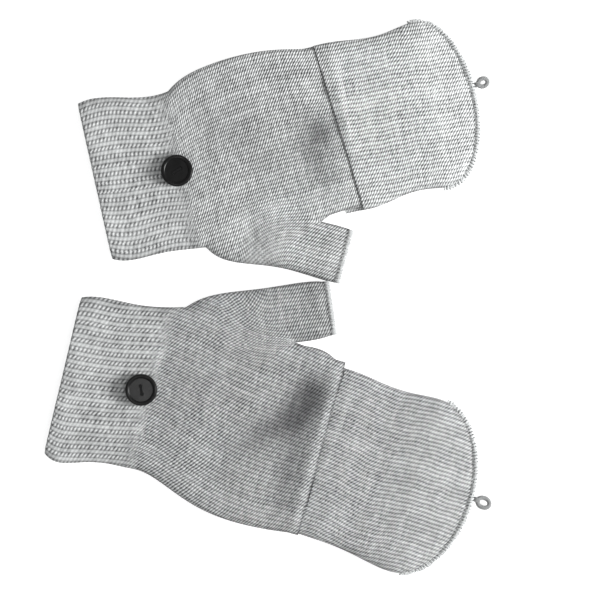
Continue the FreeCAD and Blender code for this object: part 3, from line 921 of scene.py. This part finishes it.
def make_sleeve(outline, finger, seed):
    """Half-finger tube, shaped from its CAD box in the hand frame."""
    hand = outline.hand
    node = f"{hand.name}_{finger}_sleeve"
    pairs = node_points(hand, node).reshape(-1, 3)
    low, high = pairs[:, 1].min(), pairs[:, 1].max()
    floor, top = pairs[:, 2].min(), pairs[:, 2].max()
    length = pairs[:, 0].max()
    sheets = Sheets()
    for side in ("back", "under", "inner_back", "inner_under"):
        inner = "inner" in side
        coarse = 2 if inner else 1.2
        begin = length - 12 * MM if inner else -2 * MM
        rows = np.append(np.arange(begin, length, STEP_ALONG * coarse), length)
        inset = WALL if inner else 0.0
        columns = np.append(np.arange(low + inset, high - inset, STEP_ACROSS * coarse), high - inset)
        u, v = np.meshgrid(rows, columns, indexing="ij")
        u = np.maximum(u, hand.seam_u(v) + 0.2 * MM) if not inner else u
        gap = np.minimum(v - low - inset, high - inset - v)
        close = rounding(gap, 4.5 * MM)
        middle = (floor + top) / 2
        half = (top - floor) / 2 - inset
        p = (v - low) * hand.side / (WALE * 0.92)
        q = u / COURSE
        height = jersey(p, q)
        shade = jersey_painted_shade(p, q, CAP_DASH) + stitch_tone(p, q, seed)
        if side == "back":
            z = middle + half * close - STITCH_DEPTH * 0.8 * (1 - height)
            sheets.add(hand.row(u, v, z), shade, flip=hand.side < 0)
        elif side == "under":
            z = middle - half * close + STITCH_DEPTH * 0.6 * (1 - height)
            sheets.add(hand.row(u, v, z), shade, flip=hand.side > 0)
        # The inner walls take a flat 0.25: painted shade inside the sleeve.
        elif side == "inner_back":
            sheets.add(hand.row(u, v, middle + half * close), 0.25, flip=hand.side > 0)
        else:
            sheets.add(hand.row(u, v, middle - half * close), 0.25, flip=hand.side < 0)
    knit = sheets.build(node + "_knit")
    origin = np.array([0.0, 0.0])
    edge = make_ring_edge(
        hand,
        f"{hand.name}_{finger}_edge_yarn",
        origin,
        0.0,
        length + 0.9 * MM,
        low + 0.5 * MM,
        high - 0.5 * MM,
        floor + 0.55 * MM,
        top - 0.55 * MM,
        seed,
    )
    return knit, edge


def make_hem(outline):
    """Wound yarn along the free edge of the cap's palm panel."""
    hand = outline.hand
    v = np.linspace(outline.cap_low[1, 1] + 3 * MM, outline.cap_high[1, 1] - 3 * MM, 140)
    u = hand.seam_u(v) - 9.9 * MM
    path = hand.row(u, v, np.full(len(v), 0.95 * MM))
    along = hand.row(u + 0.001, v, np.full(len(v), 0.95 * MM)) - path
    strands = [
        overcast(path, along, 1.0 * MM, 0.5 * MM, 1.6 * MM, 0.38 * MM, 5),
        overcast(path, along, 0.85 * MM, 0.45 * MM, 2.2 * MM, 0.36 * MM, 6),
        (path, 0.5 * MM, False),
    ]
    return yarns(hand.name + "_cap_hem_yarn", strands, 0.72)


def make_loop(outline, lean, length, width):
    """Twisted cord bent into a small eye at the tip."""
    hand = outline.hand
    root = hand.loop_root
    angle = np.linspace(math.radians(-168), math.radians(168), 90)
    along = (1 + np.cos(angle)) / 2 * length
    across = np.sin(angle) * width / 2
    turn = math.radians(lean)
    u = root[0] + along * math.cos(turn) - across * math.sin(turn)
    v = root[1] + along * math.sin(turn) + across * math.cos(turn)
    z = root[2] + 0.5 * MM * np.sin(angle) + 0.2 * MM
    spine = hand.row(u, v, z)
    fine, ticks = resample(spine, 0.12 * MM)
    tangent = np.gradient(fine, axis=0)
    tangent /= np.linalg.norm(tangent, axis=1)[:, None]
    side = np.cross(tangent, [0.0, 0.0, 1.0])
    side /= np.linalg.norm(side, axis=1)[:, None]
    up = np.cross(side, tangent)
    strands = []
    for strand in range(3):
        phase = ticks / (2.6 * MM) * 2 * math.pi + strand * 2 * math.pi / 3
        twist = side * np.cos(phase)[:, None] + up * np.sin(phase)[:, None]
        strands.append((fine + twist * 0.55 * MM, 0.58 * MM, False))
    loop = yarns(hand.name + "_loop_cord", strands, 0.6)
    base = hand.row(root[0] - 0.6 * MM, np.array([root[1]]), root[2])[0]
    knot = []
    for turn_index in range(3):
        offset = (turn_index - 1) * 0.75 * MM
        ring = np.linspace(0, 2 * math.pi, 20, endpoint=False)
        centre = base + np.append(hand.v * offset, 0.0)
        rim = np.outer(np.cos(ring), np.append(hand.u, 0.0)) * 1.25 * MM
        rim = rim + np.outer(np.sin(ring), [0.0, 0.0, 1.25 * MM])
        knot.append((centre + rim, 0.4 * MM, True))
    anchor = yarns(hand.name + "_loop_anchor_yarn", knot, 0.55)
    return loop, anchor


# ---- the stage ----


def make_stage():
    floor = new_object(
        "floor",
        np.array([[-1.5, -1.5, 0.0], [1.5, -1.5, 0.0], [1.5, 1.5, 0.0], [-1.5, 1.5, 0.0]]),
        np.array([[0, 1, 2, 3]]),
    )
    floor.data.materials.append(floor_material())
    world = bpy.data.worlds.new("studio")
    world.use_nodes = True
    background = world.node_tree.nodes["Background"]
    background.inputs["Color"].default_value = (1.0, 1.0, 1.0, 1)
    background.inputs["Strength"].default_value = WORLD_LIGHT
    bpy.context.scene.world = world
    add_lamp("key", KEY_PLACE, KEY_SIZE, KEY_POWER)
    add_lamp("glint", GLINT_PLACE, GLINT_SIZE, GLINT_POWER)
    camera = bpy.data.cameras.new("camera")
    camera.sensor_width = 36.0
    camera.lens = 36.0 * STAGE_HEIGHT / PHOTO_WIDTH
    camera.clip_start = 0.01
    seat = bpy.data.objects.new("camera", camera)
    seat.location = (*PHOTO_CENTRE, STAGE_HEIGHT + 0.005)
    bpy.context.scene.collection.objects.link(seat)
    bpy.context.scene.camera = seat
    bpy.context.scene.view_settings.view_transform = "Standard"


def add_lamp(name, place, size, power):
    """Round area lamp pointed at the middle of the pair."""
    lamp = bpy.data.lights.new(name, "AREA")
    lamp.shape = "DISK"
    lamp.size = size
    lamp.energy = power
    holder = bpy.data.objects.new(name, lamp)
    holder.location = place
    holder.rotation_euler = (-holder.location).to_track_quat("-Z", "Y").to_euler()
    bpy.context.scene.collection.objects.link(holder)


# ---- putting it together ----

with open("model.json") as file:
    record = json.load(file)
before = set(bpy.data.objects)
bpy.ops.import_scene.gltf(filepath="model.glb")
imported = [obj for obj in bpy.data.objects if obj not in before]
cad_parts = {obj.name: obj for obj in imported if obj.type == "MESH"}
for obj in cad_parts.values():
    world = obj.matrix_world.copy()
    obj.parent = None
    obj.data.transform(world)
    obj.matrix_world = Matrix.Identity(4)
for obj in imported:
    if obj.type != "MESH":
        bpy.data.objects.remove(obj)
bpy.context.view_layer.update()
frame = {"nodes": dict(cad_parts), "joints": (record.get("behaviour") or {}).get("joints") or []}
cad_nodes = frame["nodes"]
joints = {joint["name"]: joint for joint in frame["joints"]}

jersey_yarn = knit_material("jersey_yarn", 0.035, 0.95)
rib_yarn = knit_material("rib_yarn", 0.035, 0.95)
seam_yarn = knit_material("seam_yarn", 0.05, 0.80)
cord_yarn = knit_material("cord_yarn", 0.04, 0.45)
black_plastic = plastic_material("black_plastic")
black_thread = knit_material("black_thread", 0.004, 0.02)

# folds: centre u, v, reach along, reach across, lean in degrees, height
LEFT_FOLDS = [
    (-0.010, 0.000, 0.006, 0.009, 20.0, -2.0 * MM),
    (-0.016, -0.012, 0.007, 0.015, 10.0, -1.4 * MM),
    (-0.026, 0.012, 0.008, 0.020, 30.0, 0.7 * MM),
    (-0.050, 0.005, 0.010, 0.022, 35.0, -0.7 * MM),
]
LEFT_CAP_FOLDS = [(0.0035, 0.0, 0.003, 0.06, 0.0, 0.7 * MM)]
RIGHT_FOLDS = [
    (-0.015, -0.019, 0.0075, 0.014, 15.0, -3.4 * MM),
    (-0.029, -0.002, 0.007, 0.014, 40.0, -1.6 * MM),
    (-0.014, 0.014, 0.006, 0.018, 0.0, -1.3 * MM),
    (-0.003, 0.0, 0.0045, 0.060, 0.0, 1.7 * MM),
    (-0.050, -0.014, 0.008, 0.020, 35.0, 0.6 * MM),
]
RIGHT_CAP_FOLDS = [(0.028, -0.012, 0.007, 0.025, 10.0, -0.5 * MM)]
# Each hand's 1.0 and 1.15, or 0.77 and 0.82, are painted light: how bright its hand and thumb, and its cap, are
# made for the light that falls on them.
hands = [
    Hand("left", joints, LEFT_FOLDS, LEFT_CAP_FOLDS, 1.2 * MM, 0.0, 1.0, 1.15, (10.0, 4.6 * MM, 3.8 * MM)),
    Hand("right", joints, RIGHT_FOLDS, RIGHT_CAP_FOLDS, 1.9 * MM, 0.038, 0.77, 0.82, (8.0, 6.0 * MM, 4.6 * MM)),
]
FINGERS = ("index", "middle", "ring", "little")


def dress(obj, material, slot_name, *nodes):
    obj.data.materials.append(material)
    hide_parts(*nodes)
    return obj


for hand in hands:
    name = hand.name + "_"
    outline = Outline(hand)
    mitten, cap, thumb_body = name + "mitten", name + "cap", name + "thumb"
    palm = dress(make_hand(outline), jersey_yarn, "jersey", name + "hand")
    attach(palm, mitten)
    cuff = dress(make_cuff(outline), rib_yarn, "rib", name + "cuff", name + "cuff_elastic")
    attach(cuff, mitten)
    thumb = dress(make_thumb(outline), jersey_yarn, "jersey", name + "thumb")
    root = hand.thumb_root
    reach = np.array([math.cos(outline.turn), math.sin(outline.turn)]) * 12 * MM
    start = hand.row(root[0], root[1], 0.0)
    stop = hand.row(root[0] + reach[0], root[1] + reach[1], 0.0)
    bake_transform(thumb)
    local = to_thumb(np.stack(outline.thumb_edges), outline.turn, root)
    rim = make_ring_edge(
        hand,
        name + "thumb_edge_yarn",
        root,
        outline.turn,
        outline.thumb_length - 0.2 * MM,
        local[0, -1, 1] + 0.4 * MM,
        local[1, -1, 1] - 0.4 * MM,
        LIFT + 1.1 * MM,
        7.0 * MM,
        11,
    )
    dress(rim, seam_yarn, "overlock", name + "thumb_edge")
    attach(rim, thumb_body)
    pocket = dress(make_cap(outline), jersey_yarn, "jersey", name + "cap")
    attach(pocket, cap)
    tip = dress(make_cap_tip_seam(outline), seam_yarn, "overlock", name + "cap_tip_seam")
    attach(tip, cap)
    hem = dress(make_hem(outline), seam_yarn, "overlock", name + "cap_hem")
    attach(hem, cap)
    seam = dress(make_knuckle_seam(outline), seam_yarn, "overlock", name + "knuckle_seam")
    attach(seam, mitten)
    for index, finger in enumerate(FINGERS):
        sleeve, edge = make_sleeve(outline, finger, 20 + index)
        dress(sleeve, jersey_yarn, "jersey", f"{name}{finger}_sleeve")
        dress(edge, seam_yarn, "overlock", f"{name}{finger}_edge")
        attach(sleeve, mitten)
        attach(edge, mitten)
    lean, loop_length, loop_width = hand.loop_bend
    loop, anchor = make_loop(outline, lean, loop_length, loop_width)
    dress(loop, cord_yarn, "cord", name + "loop")
    dress(anchor, cord_yarn, "cord", name + "loop_anchor")
    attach(loop, name + "loop")
    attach(anchor, cap)
    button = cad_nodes[name + "button"]
    button.data.materials.clear()
    button.data.materials.append(black_plastic)
    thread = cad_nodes[name + "button_thread"]
    thread.data.materials.clear()
    thread.data.materials.append(black_thread)

make_stage()
